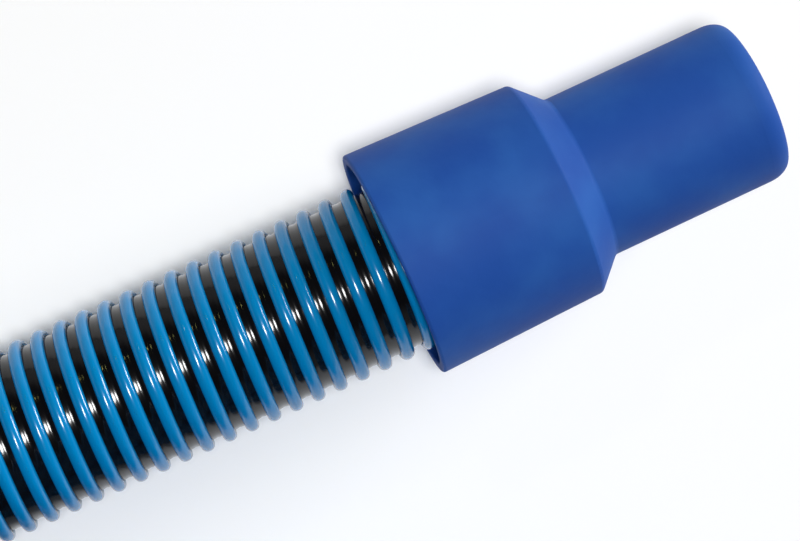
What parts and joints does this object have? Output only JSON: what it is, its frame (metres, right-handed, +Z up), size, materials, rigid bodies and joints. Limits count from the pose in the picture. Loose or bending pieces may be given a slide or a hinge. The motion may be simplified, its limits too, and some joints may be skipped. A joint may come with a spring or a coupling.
{
  "type": "pool vacuum hose",
  "caption": "Spiral-wound pool vacuum hose with a swivel cuff on each end, lying straight from one cuff and coiled and strapped beyond.",
  "frame": {"origin": "centre of the near cuff's mouth, on the cuff's axis; the surface the hose lies on is 31.8 mm below it", "axes": "+X out of the near cuff's mouth along its axis, +Z up, hose running away along -X"},
  "size_m": [0.7638, 0.652, 0.2121],
  "materials": {
    "hose": "black web with a blue half-round bead wound over it, glossy",
    "cuff": "moulded, satin, blue",
    "collar": "moulded, satin, black",
    "seal": "soft, matte, black",
    "washer": "natural acetal, smooth",
    "retainer": "moulded, satin, black",
    "strap": "woven hook-and-loop strap"
  },
  "bodies": {
    "hose": {"hose_run": "hose", "hose_tail": "hose", "hose_coil": "hose", "coil_strap_1": "strap", "coil_strap_2": "strap", "coil_strap_3": "strap", "near_collar": "collar", "near_seal_ring": "seal", "near_thrust_washer": "washer", "far_collar": "collar", "far_seal_ring": "seal", "far_thrust_washer": "washer"},
    "near_cuff_body": {"near_cuff": "cuff", "near_retaining_ring": "retainer"},
    "far_cuff_body": {"far_cuff": "cuff", "far_retaining_ring": "retainer"}
  },
  "joints": [
    {"name": "near_swivel", "type": "hinge", "parent": "hose", "child": "near_cuff_body", "pos_m": [0, 0, 0], "axis": [1, 0, 0], "continuous": true},
    {"name": "far_swivel", "type": "hinge", "parent": "hose", "child": "far_cuff_body", "pos_m": [-0.63305, -0.027, 0.1485], "axis": [-1, 0, 0], "continuous": true}
  ]
}
